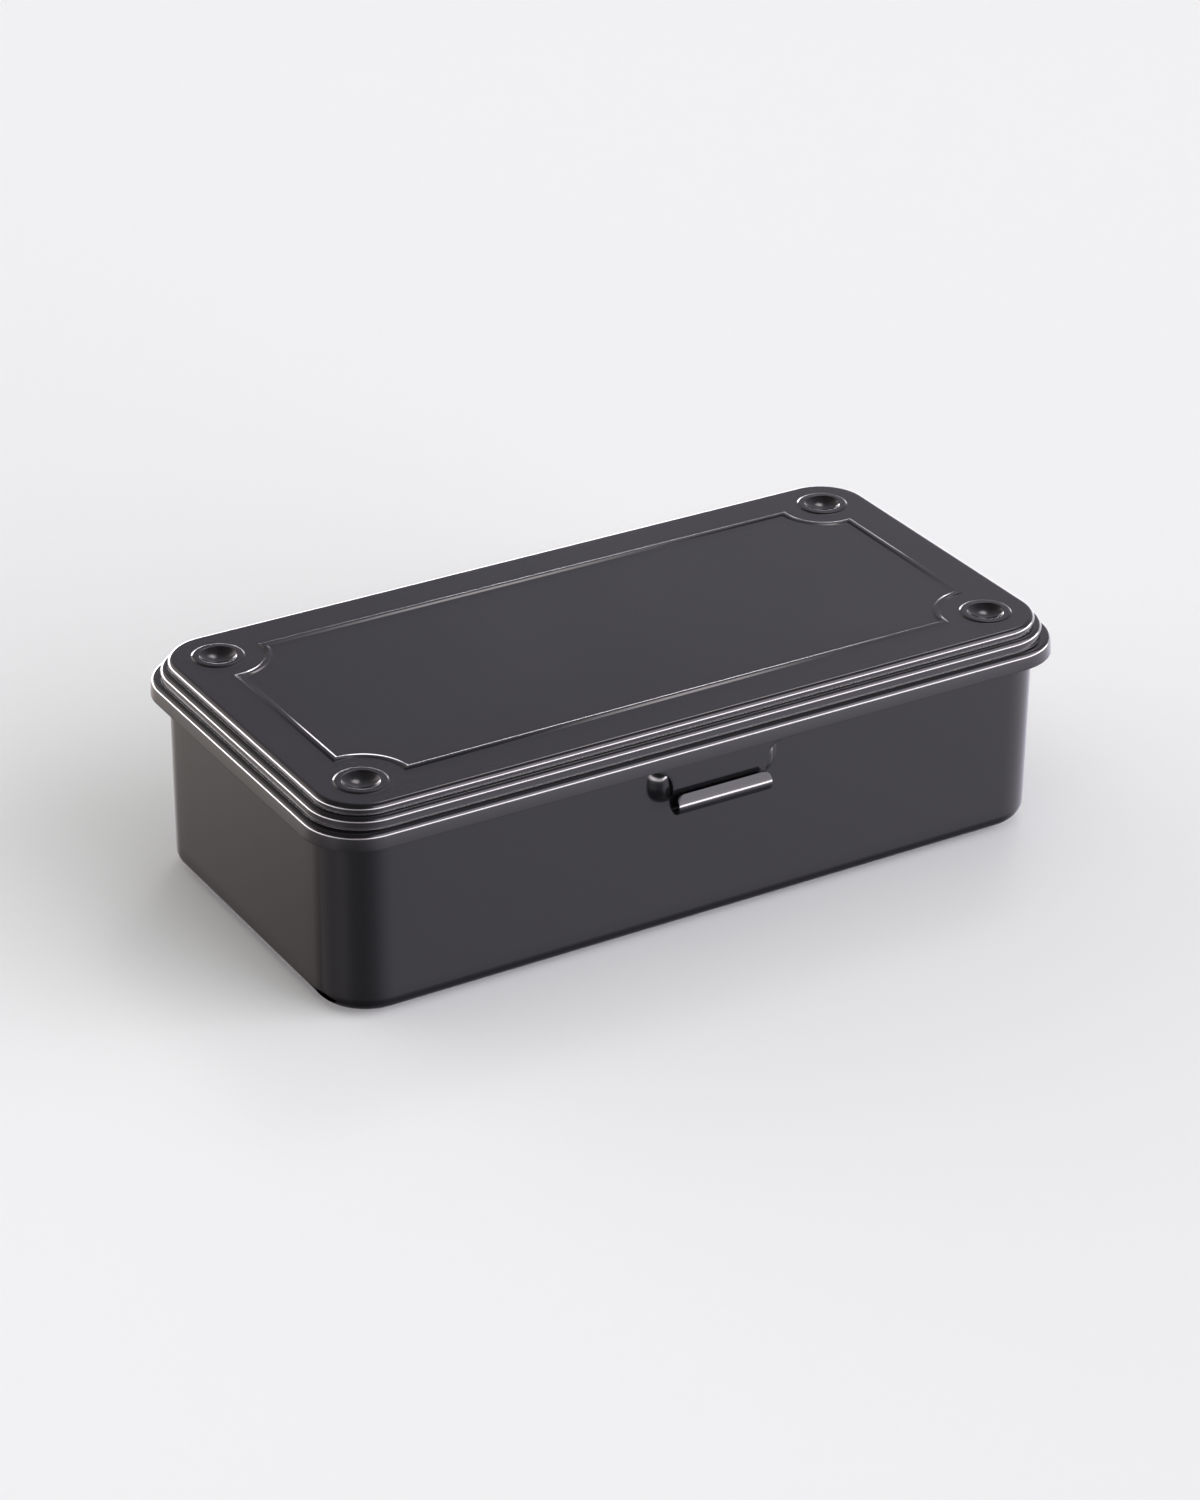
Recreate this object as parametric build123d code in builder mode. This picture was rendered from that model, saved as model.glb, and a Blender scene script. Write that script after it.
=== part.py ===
"""Pressed-steel lunch box: a drawn tray, a stepped lid on two knuckle hinges, a springy latch tongue.

Millimetres. +Z is up, +X runs along the length, and the latch is on the -Y side. The origin is at the
middle of the overall box, at the height of the surface that the feet stand on.
"""
from build123d import *
from math import atan, cos, degrees, radians, sin, sqrt
import os

os.makedirs("parts", exist_ok=True)

# Overall sizes
length = 203.0              # over the lid's flange
depth = 103.0               # over the lid's flange, without the latch lip and the hinges
height = 56.0               # from the feet to the stacking pads
sheet = 0.6                 # steel sheet of every pressing
move_gap = 0.3              # between the lid and the tray
split_gap = 0.1             # where the tongue's flexing line parts it from the lid

# Lid: a panel, a step below it and a flange with a short skirt
pad_height = 0.3
plateau_inset = 3.8
plateau_corner = 12.2
plateau_edge = 1.3
step_drop = 2.3
step_inset = 2.0
step_corner = 14.0
step_edge = 1.2
flange_drop = 5.2
flange_corner = 14.4
flange_edge = 1.2
skirt_height = 4.1

# Stacking dimples in the lid and the feet that sit in them
dimple_x = 85.6             # from the middle of the box
dimple_y = 35.8
pad_radius = 6.5
pad_slope = 0.4
bowl_radius = 4.6
bowl_depth = 1.5            # below the pad
foot_height = 1.0
foot_play = 0.3             # between a foot's root and the bowl's edge
foot_slope = 2.0

# Raised rib round the panel, notched round the dimples
rib_height = 0.3
rib_width = 2.1
rib_margin_x = 14.5         # from the flange's outline
rib_margin_y = 14.85
rib_notch = 10.8            # radius about the dimple

# Tray
tray_inset = 3.6
tray_corner = 13.5
tray_bottom_edge = 4.3
rim_lip_height = 1.6

# Latch tongue, and the boss that its inward bend hooks under
neck_width = 25.4
neck_fillet = 5.5
flex_line = 0.6             # below the skirt
bend_start = 7.0            # below the skirt
hook_depth = 1.1
tongue_drop = 11.7
lip_leg = 1.6               # straight end of the lip, past its roll
lip_lean = 40.0             # degrees that the lip leans back towards the neck
lip_reach = 3.0             # in front of the skirt
lip_corner = 1.5
boss_width = 33.5
boss_top = 0.2              # below the skirt
boss_drop = 8.6             # below the skirt, to the boss's lower edge
boss_gap = 0.4              # between the boss and the back of the neck
boss_end = 4.0
boss_edge = 2.3

# Hinges
hinge_offset = 55.0         # from the middle of the box
knuckle_radius = 1.8
pin_clearance = 0.05
lid_knuckle_width = 12.0
leaf_knuckle_width = 6.0
pin_overhang = 0.5
leaf_drop = 8.0             # of the welded plate below the knuckle
curl_opening = 60.0         # degrees left open where a curl meets its own sheet

# Heights worked out from the above
panel_top = height - pad_height
step_top = panel_top - step_drop
flange_top = panel_top - flange_drop
skirt_bottom = flange_top - skirt_height
rim_top = flange_top - sheet - move_gap
rim_inset = sheet + move_gap
rim_corner = flange_corner - rim_inset
front = -depth / 2          # the skirt's front face
back = depth / 2
wall_front = front + tray_inset
wall_back = back - tray_inset
boss_reach = tray_inset - sheet - boss_gap
hinge_y = back - sheet + knuckle_radius
hinge_z = skirt_bottom - move_gap - knuckle_radius
bore_radius = knuckle_radius - sheet
pin_radius = bore_radius - pin_clearance
dimples = [(side * dimple_x, end * dimple_y) for side in (-1, 1) for end in (-1, 1)]


def rounded_block(inset, corner, bottom, top, top_edge=0.0, bottom_edge=0.0):
    """A block inside the flange's outline, with round corners and, where asked, round edges."""
    with BuildPart() as block:
        with BuildSketch(Plane.XY.offset(bottom)):
            RectangleRounded(length - 2 * inset, depth - 2 * inset, corner)
        extrude(amount=top - bottom)
        if top_edge > 0:
            fillet(block.faces().sort_by(Axis.Z)[-1].edges(), top_edge)
        if bottom_edge > 0:
            fillet(block.faces().sort_by(Axis.Z)[0].edges(), bottom_edge)
    return block.part


def lid_form(skin):
    """The lid's three stacked steps, drawn in by skin: 0 for the outside, the sheet for the inside."""
    steps = [
        (plateau_inset, plateau_corner, panel_top, plateau_edge),
        (step_inset, step_corner, step_top, step_edge),
        (0.0, flange_corner, flange_top, flange_edge),
    ]
    with BuildPart() as form:
        for inset, corner, top, edge in steps:
            add(rounded_block(inset + skin, corner - skin, skirt_bottom, top - skin, edge - skin))
    return form.part


def dimple_shell():
    """One stacking dimple about the Z axis: a raised pad with a round bowl pressed into it."""
    ball = (bowl_radius**2 + bowl_depth**2) / (2 * bowl_depth)
    ball_z = panel_top + pad_height - bowl_depth + ball
    outer = ball + sheet
    under = panel_top + pad_height - sheet
    half = outer / sqrt(2)
    mid = ball / sqrt(2)
    outer_edge = sqrt(outer**2 - (ball_z - under) ** 2)
    steep = atan(outer_edge / (ball_z - under)) / 2
    shallow = atan(bowl_radius / (ball - bowl_depth)) / 2
    rim = pad_radius + sheet
    with BuildPart() as shell:
        with BuildSketch(Plane.XZ):
            with BuildLine():
                Polyline(
                    (0, ball_z - outer),
                    (0, ball_z - ball),
                )
                ThreePointArc(
                    (0, ball_z - ball),
                    (ball * sin(shallow), ball_z - ball * cos(shallow)),
                    (bowl_radius, panel_top + pad_height),
                )
                Polyline(
                    (bowl_radius, panel_top + pad_height),
                    (pad_radius - pad_slope, panel_top + pad_height),
                    (pad_radius, panel_top),
                    (rim, panel_top),
                    (rim, panel_top - sheet),
                    (pad_radius, panel_top - sheet),
                    (pad_radius - pad_slope, under),
                    (outer_edge, under),
                )
                ThreePointArc(
                    (outer_edge, under),
                    (outer * sin(steep), ball_z - outer * cos(steep)),
                    (0, ball_z - outer),
                )
            make_face()
        revolve(axis=Axis.Z)
    return shell.part


def foot_shell():
    """One foot about the Z axis: a flat-bottomed dome pressed down out of the tray's floor."""
    root = bowl_radius - foot_play
    toe = root - foot_slope
    with BuildPart() as shell:
        with BuildSketch(Plane.XZ):
            Polygon(
                (0, 0),
                (toe, 0),
                (root, foot_height),
                (root + sheet, foot_height),
                (root + sheet, foot_height + sheet),
                (root, foot_height + sheet),
                (toe, sheet),
                (0, sheet),
                align=None,
            )
        revolve(axis=Axis.Z)
    return shell.part


def rib_outline(inset, plane, amount):
    """The panel's border as a plate: a rectangle notched round each dimple, drawn in by inset."""
    with BuildPart() as plate:
        with BuildSketch(plane):
            Rectangle(length - 2 * (rib_margin_x + inset), depth - 2 * (rib_margin_y + inset))
            with Locations(*dimples):
                Circle(rib_notch + inset, mode=Mode.SUBTRACT)
        extrude(amount=amount)
    return plate.part


def rib_band(bottom):
    """The rib's own solid, standing on the height given."""
    plane = Plane.XY.offset(bottom)
    return rib_outline(0, plane, rib_height) - rib_outline(rib_width, plane, rib_height)


def neck_blank():
    """The tongue's flat neck with the fillets that run it into the skirt."""
    half = neck_width / 2
    root = half + neck_fillet
    slant = neck_fillet * (1 - 1 / sqrt(2))
    with BuildPart() as blank:
        with BuildSketch(Plane.XZ.offset(-front - sheet)):
            with BuildLine():
                Polyline((-half, skirt_bottom - neck_fillet), (-half, skirt_bottom - bend_start),
                         (half, skirt_bottom - bend_start), (half, skirt_bottom - neck_fillet))
                ThreePointArc((half, skirt_bottom - neck_fillet), (half + slant, skirt_bottom - slant),
                              (root, skirt_bottom))
                Polyline((root, skirt_bottom), (root, skirt_bottom + sheet),
                         (-root, skirt_bottom + sheet), (-root, skirt_bottom))
                ThreePointArc((-root, skirt_bottom), (-half - slant, skirt_bottom - slant),
                              (-half, skirt_bottom - neck_fillet))
            make_face()
        extrude(amount=sheet)
    return blank.part


def band(bottom, top):
    """A slab across the front of the box between two heights, to split the neck with."""
    with BuildPart() as slab:
        with BuildSketch(Plane.XY.offset(bottom)):
            with Locations((0, front)):
                Rectangle(length, 4 * lip_reach)
        extrude(amount=top - bottom)
    return slab.part


def curl(start, bore, x_from, width):
    """A sheet curled round the hinge axis, on from where it touches the knuckle at the start angle."""
    opening = [
        (
            hinge_y + 2 * knuckle_radius * cos(radians(start - angle)),
            hinge_z + 2 * knuckle_radius * sin(radians(start - angle)),
        )
        for angle in (0, curl_opening)
    ]
    with BuildPart() as ring:
        with BuildSketch(Plane.YZ.offset(x_from)):
            with Locations((hinge_y, hinge_z)):
                Circle(knuckle_radius)
                Circle(bore, mode=Mode.SUBTRACT)
            Polygon((hinge_y, hinge_z), *opening, align=None, mode=Mode.SUBTRACT)
        extrude(amount=width)
    return ring.part


def side_slab(y_from, y_to, z_from, z_to, x_from, width):
    """A flat piece of sheet with its sides along the axes."""
    with BuildPart() as slab:
        with BuildSketch(Plane.YZ.offset(x_from)):
            with Locations(((y_from + y_to) / 2, (z_from + z_to) / 2)):
                Rectangle(y_to - y_from, z_to - z_from)
        extrude(amount=width)
    return slab.part


def boss_form(skin):
    """The catch boss on the tray's front wall, drawn in by skin for its hollow back."""
    boss_height = boss_drop - boss_top
    with BuildPart() as boss:
        with BuildSketch(Plane.XZ.offset(-wall_front - sheet)):
            with Locations((0, skirt_bottom - (boss_drop + boss_top) / 2)):
                RectangleRounded(boss_width - 2 * skin, boss_height - 2 * skin, boss_end - skin)
        extrude(amount=boss_reach + sheet - skin)
        fillet(boss.faces().sort_by(Axis.Y)[0].edges(), boss_edge - skin)
    return boss.part


# The lid: one pressing, with its rib, its dimples, the tongue's root and the two hinge tabs
with BuildPart() as lid_shell:
    add(lid_form(0))
    add(rib_band(panel_top))
    add(lid_form(sheet), mode=Mode.SUBTRACT)
    add(rib_band(panel_top - sheet), mode=Mode.SUBTRACT)
    with Locations(*[(x, y, panel_top - sheet) for x, y in dimples]):
        Cylinder(pad_radius + sheet, sheet, align=(Align.CENTER, Align.CENTER, Align.MIN),
                 mode=Mode.SUBTRACT)
    with Locations(*dimples):
        add(dimple_shell())
    add(neck_blank() & band(skirt_bottom - flex_line, skirt_bottom + sheet))
    for side in (-1, 1):
        x_from = side * hinge_offset - lid_knuckle_width / 2
        add(side_slab(back - sheet, back, hinge_z, skirt_bottom + sheet, x_from, lid_knuckle_width))
        add(curl(180, bore_radius, x_from, lid_knuckle_width))
lid_shell.part.label = "lid_shell"
export_step(lid_shell.part, "parts/lid_shell.step")

# The latch tongue: the neck below its flexing line, the inward bend and the rolled finger lip
sheet_y = front + sheet / 2
leg_y = front - lip_reach + sheet / 2
roll_radius = (sheet_y + hook_depth - leg_y) / 2
roll_z = skirt_bottom - tongue_drop + sheet / 2 + roll_radius
bend_z = skirt_bottom - bend_start
bend_run = bend_z - roll_z
bend_radius = (bend_run**2 + hook_depth**2) / (4 * hook_depth)
bend_angle = degrees(2 * atan(hook_depth / bend_run))
lean = radians(lip_lean)
tip_y = leg_y + roll_radius * (1 - cos(lean)) + lip_leg * sin(lean)
tip_z = roll_z + roll_radius * sin(lean) + lip_leg * cos(lean)
with BuildPart() as latch_tongue:
    add(neck_blank() & band(bend_z, skirt_bottom - flex_line - split_gap))
    with BuildSketch(Plane.YZ.offset(-neck_width / 2)):
        with BuildLine() as path:
            straight = Line((sheet_y, bend_z + sheet), (sheet_y, bend_z))
            inward = JernArc(straight @ 1, straight % 1, bend_radius, bend_angle)
            upright = JernArc(inward @ 1, inward % 1, bend_radius, -bend_angle)
            roll = JernArc(upright @ 1, upright % 1, roll_radius, -180 - lip_lean)
            PolarLine(roll @ 1, lip_leg, direction=roll % 1)
        trace(line_width=sheet)
    extrude(amount=neck_width)
    tip = latch_tongue.faces().sort_by_distance((0, tip_y, tip_z))[0]
    fillet(tip.edges().sort_by(SortBy.LENGTH)[:2], lip_corner)
latch_tongue.part.label = "latch_tongue"
export_step(latch_tongue.part, "parts/latch_tongue.step")

# The tray: one drawing, with its turned rim, its catch boss and its feet
with BuildPart() as box_body:
    add(rounded_block(rim_inset, rim_corner, rim_top - rim_lip_height, rim_top, sheet))
    add(rounded_block(rim_inset + sheet, rim_corner - sheet, rim_top - rim_lip_height - sheet,
                      rim_top - sheet), mode=Mode.SUBTRACT)
    add(rounded_block(tray_inset, tray_corner, foot_height, rim_top, 0, tray_bottom_edge))
    add(boss_form(0))
    add(rounded_block(tray_inset + sheet, tray_corner - sheet, foot_height + sheet, rim_top + sheet,
                      0, tray_bottom_edge - sheet), mode=Mode.SUBTRACT)
    add(boss_form(sheet), mode=Mode.SUBTRACT)
    with Locations(*[(x, y, foot_height) for x, y in dimples]):
        Cylinder(bowl_radius - foot_play + sheet, sheet, align=(Align.CENTER, Align.CENTER, Align.MIN),
                 mode=Mode.SUBTRACT)
    with Locations(*dimples):
        add(foot_shell())
box_body.part.label = "box_body"
export_step(box_body.part, "parts/box_body.step")

# The hinges: a leaf welded to the tray's back wall, with two curls that grip the pin, and the pin
leaf_width = lid_knuckle_width + 2 * (move_gap + leaf_knuckle_width)
arm_z = hinge_z - knuckle_radius
for name, side in (("left", -1), ("right", 1)):
    middle = side * hinge_offset
    with BuildPart() as hinge_leaf:
        add(side_slab(wall_back, wall_back + sheet, arm_z - leaf_drop, arm_z + sheet,
                      middle - leaf_width / 2, leaf_width))
        for x_from in (middle - leaf_width / 2, middle + leaf_width / 2 - leaf_knuckle_width):
            add(side_slab(wall_back, hinge_y, arm_z, arm_z + sheet, x_from, leaf_knuckle_width))
            add(curl(270, pin_radius, x_from, leaf_knuckle_width))
    hinge_leaf.part.label = f"hinge_leaf_{name}"
    export_step(hinge_leaf.part, f"parts/hinge_leaf_{name}.step")

    pin_length = leaf_width + 2 * pin_overhang
    with BuildPart() as hinge_pin:
        with BuildSketch(Plane.YZ.offset(middle - pin_length / 2)):
            with Locations((hinge_y, hinge_z)):
                Circle(pin_radius)
        extrude(amount=pin_length)
    hinge_pin.part.label = f"hinge_pin_{name}"
    export_step(hinge_pin.part, f"parts/hinge_pin_{name}.step")
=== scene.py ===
"""Looks for a black enamelled steel lunch box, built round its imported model.

The tray and the lid are each one drawn sheet. A smooth outer skin is laid out ring by ring, its
panels are filled in between their pressed features, and it is then given the sheet's thickness.
"""
import logging
from dataclasses import dataclass
from enum import Enum
from math import atan, cos, hypot, pi, radians, sin, sqrt
from typing import Iterator, Sequence

import bmesh
import bpy
from bpy.types import ID, Material, Node, NodeSocket, NodeTree, Object
from mathutils import Matrix, Vector
from mathutils.geometry import delaunay_2d_cdt


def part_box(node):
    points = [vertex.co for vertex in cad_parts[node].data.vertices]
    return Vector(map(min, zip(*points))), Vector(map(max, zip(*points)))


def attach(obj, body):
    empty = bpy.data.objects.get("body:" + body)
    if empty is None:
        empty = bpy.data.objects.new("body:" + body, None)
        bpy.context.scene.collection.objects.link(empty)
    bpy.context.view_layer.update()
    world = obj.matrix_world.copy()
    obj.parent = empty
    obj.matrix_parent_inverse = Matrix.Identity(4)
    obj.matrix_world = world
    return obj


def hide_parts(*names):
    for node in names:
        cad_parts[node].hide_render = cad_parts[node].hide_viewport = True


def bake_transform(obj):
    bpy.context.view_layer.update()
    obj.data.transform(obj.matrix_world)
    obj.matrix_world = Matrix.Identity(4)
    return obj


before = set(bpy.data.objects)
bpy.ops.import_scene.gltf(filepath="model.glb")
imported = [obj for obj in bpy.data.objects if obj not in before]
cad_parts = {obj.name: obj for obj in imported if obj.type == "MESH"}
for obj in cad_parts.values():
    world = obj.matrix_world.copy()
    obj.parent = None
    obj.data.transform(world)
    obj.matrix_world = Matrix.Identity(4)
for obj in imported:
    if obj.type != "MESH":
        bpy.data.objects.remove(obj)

LOG = logging.getLogger("lunch_box")
MM = 0.001
WELD_REACH = 0.004          # points of a skin nearer than this are one, in millimetres
SLIVER = 0.001              # shorter edges of a skin are dropped, in millimetres
SAME_PLACE = 1e-5           # of a panel's points, in millimetres
GUARD = 0.3                 # between a panel's edge and the flat line inside it, in millimetres
CUT_ANGLE = 62.0            # a sharper edge of a sheet is a cut one, in degrees
CUT_STEPS = 3
RAMP_BEND = 0.18            # share of a ramp that its foot and its crest take

Point = tuple[float, float, float]
Flat = tuple[float, float]
Colour = tuple[float, float, float]


class Body(Enum):
    """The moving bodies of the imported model."""

    TRAY = "tray"
    LID = "lid"
    LATCH = "latch"


class Slot(Enum):
    """The record's material slots."""

    ENAMEL = "enamelled_sheet"
    PIN = "pin_steel"


# ---- rings and skins


@dataclass(frozen=True)
class Ring:
    """One level line of a drawn shell, in millimetres."""

    inset: float
    corner: float
    height: float

    def guard(self) -> "Ring":
        """The flat line just inside this one."""
        return Ring(self.inset + GUARD, self.corner - GUARD, self.height)


def quarter(steps: int) -> list[float]:
    """Angles of a quarter turn, both ends included."""
    return [k / steps * pi / 2 for k in range(steps + 1)]


def round_over(inset: float, corner: float, level: float, radius: float, steps: int,
               rise: int = -1) -> Iterator[Ring]:
    """Rings that turn from a level surface into an upright wall.

    Args:
        inset: Where the wall stands.
        corner: The wall's corner radius.
        level: Height of the level surface.
        radius: Radius of the turn.
        steps: Number of steps in the turn.
        rise: 1 where the wall goes up from the surface, -1 where it goes down.

    Returns:
        The rings, from the level surface to the wall.
    """
    for angle in quarter(steps):
        grow = radius * (1 - sin(angle))
        yield Ring(inset + grow, corner - grow, level + rise * radius * (1 - cos(angle)))


def flare_out(inset: float, corner: float, level: float, radius: float, steps: int,
              rise: int = 1) -> Iterator[Ring]:
    """Rings from an upright wall out into a level ledge, with round_over's arguments.

    The wall stands above the ledge where rise is 1 and hangs below it where rise is -1.
    """
    for angle in quarter(steps):
        out = radius * (1 - cos(angle))
        yield Ring(inset - out, corner + out, level + rise * radius * (1 - sin(angle)))


def spread(start: float, end: float, count: int) -> list[float]:
    """Evenly spaced values from start to end, both included."""
    return [start + (end - start) * k / (count - 1) for k in range(count)]


@dataclass(frozen=True)
class Footprint:
    """The rounded rectangle that a shell's rings follow, with the columns that they share."""

    length: float
    depth: float
    long_columns: tuple[float, ...]
    short_columns: tuple[float, ...]
    corner_steps: int = 16

    def points(self, ring: Ring) -> list[Point]:
        """The ring's points, anticlockwise from above, from the left end of the front side.

        Args:
            ring: The level line.

        Returns:
            Its points in millimetres.
        """
        half_x = self.length / 2 - ring.inset
        half_y = self.depth / 2 - ring.inset
        end_x = half_x - ring.corner
        end_y = half_y - ring.corner
        run_x = [-end_x, *self.long_columns, end_x]
        run_y = [-end_y, *self.short_columns, end_y]
        sides = [
            ([(x, -half_y) for x in run_x], (end_x, -end_y), -pi / 2),
            ([(half_x, y) for y in run_y], (end_x, end_y), 0.0),
            ([(-x, half_y) for x in run_x], (-end_x, end_y), pi / 2),
            ([(-half_x, -y) for y in run_y], (-end_x, -end_y), pi),
        ]
        loop: list[Point] = []
        for run, centre, start in sides:
            loop += [(x, y, ring.height) for x, y in run]
            for turn in quarter(self.corner_steps)[1:-1]:
                loop.append((
                    centre[0] + ring.corner * cos(start + turn),
                    centre[1] + ring.corner * sin(start + turn),
                    ring.height,
                ))
        return loop


class Skin:
    """An open surface in millimetres, gathered face by face and then turned into sheet metal."""

    def __init__(self, name: str) -> None:
        """Start an empty skin with the name of its piece."""
        self.name = name
        self.points: list[Point] = []
        self.faces: list[tuple[int, ...]] = []

    def grid(self, rows: Sequence[Sequence[Point]], closed: bool) -> None:
        """Join rows of points into four-sided faces.

        Args:
            rows: Rows of equal length. Faces look outward when the rows run anticlockwise and rise.
            closed: Whether each row's end joins its start.
        """
        first = len(self.points)
        width = len(rows[0])
        for row in rows:
            self.points += row
        for r in range(len(rows) - 1):
            for c in range(width if closed else width - 1):
                here, right = first + r * width + c, first + r * width + (c + 1) % width
                self.faces.append((here, right, right + width, here + width))

    def panel(self, loops: Sequence[Sequence[Point]], centres: Sequence[Point], up: bool) -> None:
        """Fill a level panel between closed loops, the first of which is its edge.

        Args:
            loops: Closed loops of points, each at its own height.
            centres: Single points, such as the middle of a bowl.
            up: Whether the panel's faces look up.
        """
        places: list[Point] = []
        edges: list[tuple[int, int]] = []
        for loop in loops:
            first = len(places)
            places += loop
            edges += [(first + k, first + (k + 1) % len(loop)) for k in range(len(loop))]
        places += centres
        flat = [Vector(p[:2]) for p in places]
        found = delaunay_2d_cdt(flat, edges, [], 1, SAME_PLACE)
        first = len(self.points)
        for place, origins in zip(found[0], found[3]):
            self.points.append((place.x, place.y, places[origins[0]][2]))
        for face in found[2]:
            turned = face if up else tuple(reversed(face))
            self.faces.append(tuple(first + k for k in turned))

    def pressed(self, sheet: "Sheet") -> Object:
        """Weld the skin, give it the sheet's thickness inwards and round its cut edges.

        Args:
            sheet: The sheet's sizes.

        Returns:
            The finished piece.
        """
        mesh = bpy.data.meshes.new(self.name)
        mesh.from_pydata([tuple(v * MM for v in p) for p in self.points], [], self.faces)
        work = bmesh.new()
        work.from_mesh(mesh)
        bmesh.ops.remove_doubles(work, verts=work.verts, dist=WELD_REACH * MM)
        bmesh.ops.dissolve_degenerate(work, edges=work.edges, dist=SLIVER * MM)
        work.to_mesh(mesh)
        work.free()
        piece = placed(self.name, mesh)
        solid = piece.modifiers.new("sheet", "SOLIDIFY")
        solid.thickness = sheet.thickness * MM
        solid.offset = -1.0
        solid.use_even_offset = True
        solid.use_quality_normals = True
        edge = piece.modifiers.new("cut edge", "BEVEL")
        edge.width = sheet.raw_edge * MM
        edge.segments = CUT_STEPS
        edge.limit_method = "ANGLE"
        edge.angle_limit = radians(CUT_ANGLE)
        return baked(piece)


def placed(name: str, data: ID) -> Object:
    """A new object in the scene."""
    made = bpy.data.objects.new(name, data)
    bpy.context.scene.collection.objects.link(made)
    return made


def baked(piece: Object) -> Object:
    """Turn a piece's modifiers into plain, smoothly shaded mesh.

    Args:
        piece: An object with its modifiers on it.

    Returns:
        The same object, with none left.
    """
    graph = bpy.context.evaluated_depsgraph_get()
    mesh = bpy.data.meshes.new_from_object(piece.evaluated_get(graph))
    piece.modifiers.clear()
    old = piece.data
    piece.data = mesh
    bpy.data.meshes.remove(old)
    mesh.name = piece.name
    mesh.shade_smooth()
    return piece


# ---- node trees


class Nodes:
    """A short way to add nodes to a tree and wire them."""

    def __init__(self, tree: NodeTree) -> None:
        """Work on the given tree."""
        self.tree = tree

    def add(self, kind: str, **values: object) -> Node:
        """Add a node.

        Args:
            kind: The node's type name, without its ShaderNode start.
            values: Property values by name.

        Returns:
            The new node.
        """
        node = self.tree.nodes.new("ShaderNode" + kind)
        for name, value in values.items():
            setattr(node, name, value)
        return node

    def geo(self, kind: str, **inputs: object) -> NodeSocket:
        """A new geometry node's first output, with the node's sockets set."""
        return self.set(self.tree.nodes.new("GeometryNode" + kind), **inputs).outputs[0]

    def set(self, node: Node, **inputs: object) -> Node:
        """Set a node's sockets: a value is stored and a socket is linked; spaces are written as _.

        Args:
            node: The node.
            inputs: Socket names with values or sockets.

        Returns:
            The same node.
        """
        for name, value in inputs.items():
            key = int(name[1:]) if name[0] == "i" and name[1:].isdigit() else name.replace("_", " ")
            socket = node.inputs[key]
            if isinstance(value, NodeSocket):
                self.tree.links.new(value, socket)
            else:
                socket.default_value = value
        return node

    def math(self, operation: str, *values: object) -> NodeSocket:
        """A maths node's result."""
        node = self.add("Math", operation=operation)
        return self.set(node, **{f"i{k}": v for k, v in enumerate(values)}).outputs[0]

    def vector(self, operation: str, *values: object) -> Node:
        """A vector maths node."""
        node = self.add("VectorMath", operation=operation)
        return self.set(node, **{f"i{k}": v for k, v in enumerate(values)})

    def times(self, first: object, second: object) -> NodeSocket:
        """A colour or a direction times another, part by part."""
        return self.vector("MULTIPLY", first, second).outputs[0]

    def even(self, value: object) -> NodeSocket:
        """A value as all three parts of a colour."""
        return self.set(self.add("CombineXYZ"), X=value, Y=value, Z=value).outputs[0]

    def spread(self, value: object, low: float, high: float, out_low: float, out_high: float,
               ) -> NodeSocket:
        """A value carried from one range to another, smoothly and within its ends."""
        node = self.add("MapRange", interpolation_type="SMOOTHSTEP")
        return self.set(node, i0=value, i1=low, i2=high, i3=out_low, i4=out_high).outputs[0]


class Grower:
    """A Geometry Nodes tree with named sizes, and the way to grow a plain mesh from it."""

    def __init__(self, name: str, sizes: Sequence[tuple[str, str]]) -> None:
        """Start a tree.

        Args:
            name: The tree's name.
            sizes: Names of its inputs with their kinds, Float, Int, Vector or Material.
        """
        self.tree = bpy.data.node_groups.new(name, "GeometryNodeTree")
        self.nodes = Nodes(self.tree)
        self.keys: dict[str, str] = {}
        for label, kind in sizes:
            made = self.tree.interface.new_socket(
                label, in_out="INPUT", socket_type="NodeSocket" + kind)
            self.keys[label] = made.identifier
        self.tree.interface.new_socket(
            "Geometry", in_out="OUTPUT", socket_type="NodeSocketGeometry")
        self.inputs = self.tree.nodes.new("NodeGroupInput").outputs

    def finish(self, geometry: NodeSocket, material: NodeSocket) -> None:
        """End the tree: real geometry, smooth shading and the material.

        Args:
            geometry: What has grown.
            material: The finish's input.
        """
        n = self.nodes
        real = n.geo("RealizeInstances", Geometry=geometry)
        soft = n.geo("SetShadeSmooth", Geometry=real)
        done = n.geo("SetMaterial", Geometry=soft, Material=material)
        sink = self.tree.nodes.new("NodeGroupOutput")
        self.tree.links.new(done, sink.inputs["Geometry"])

    def grow(self, name: str, **values: object) -> Object:
        """Grow one piece.

        Args:
            name: The piece's name.
            values: The tree's inputs, with spaces written as _.

        Returns:
            The piece, as plain mesh.
        """
        piece = placed(name, bpy.data.meshes.new(name))
        modifier = piece.modifiers.new("grow", "NODES")
        modifier.node_group = self.tree
        for label, value in values.items():
            modifier[self.keys[label.replace("_", " ")]] = value
        return baked(piece)


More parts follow.
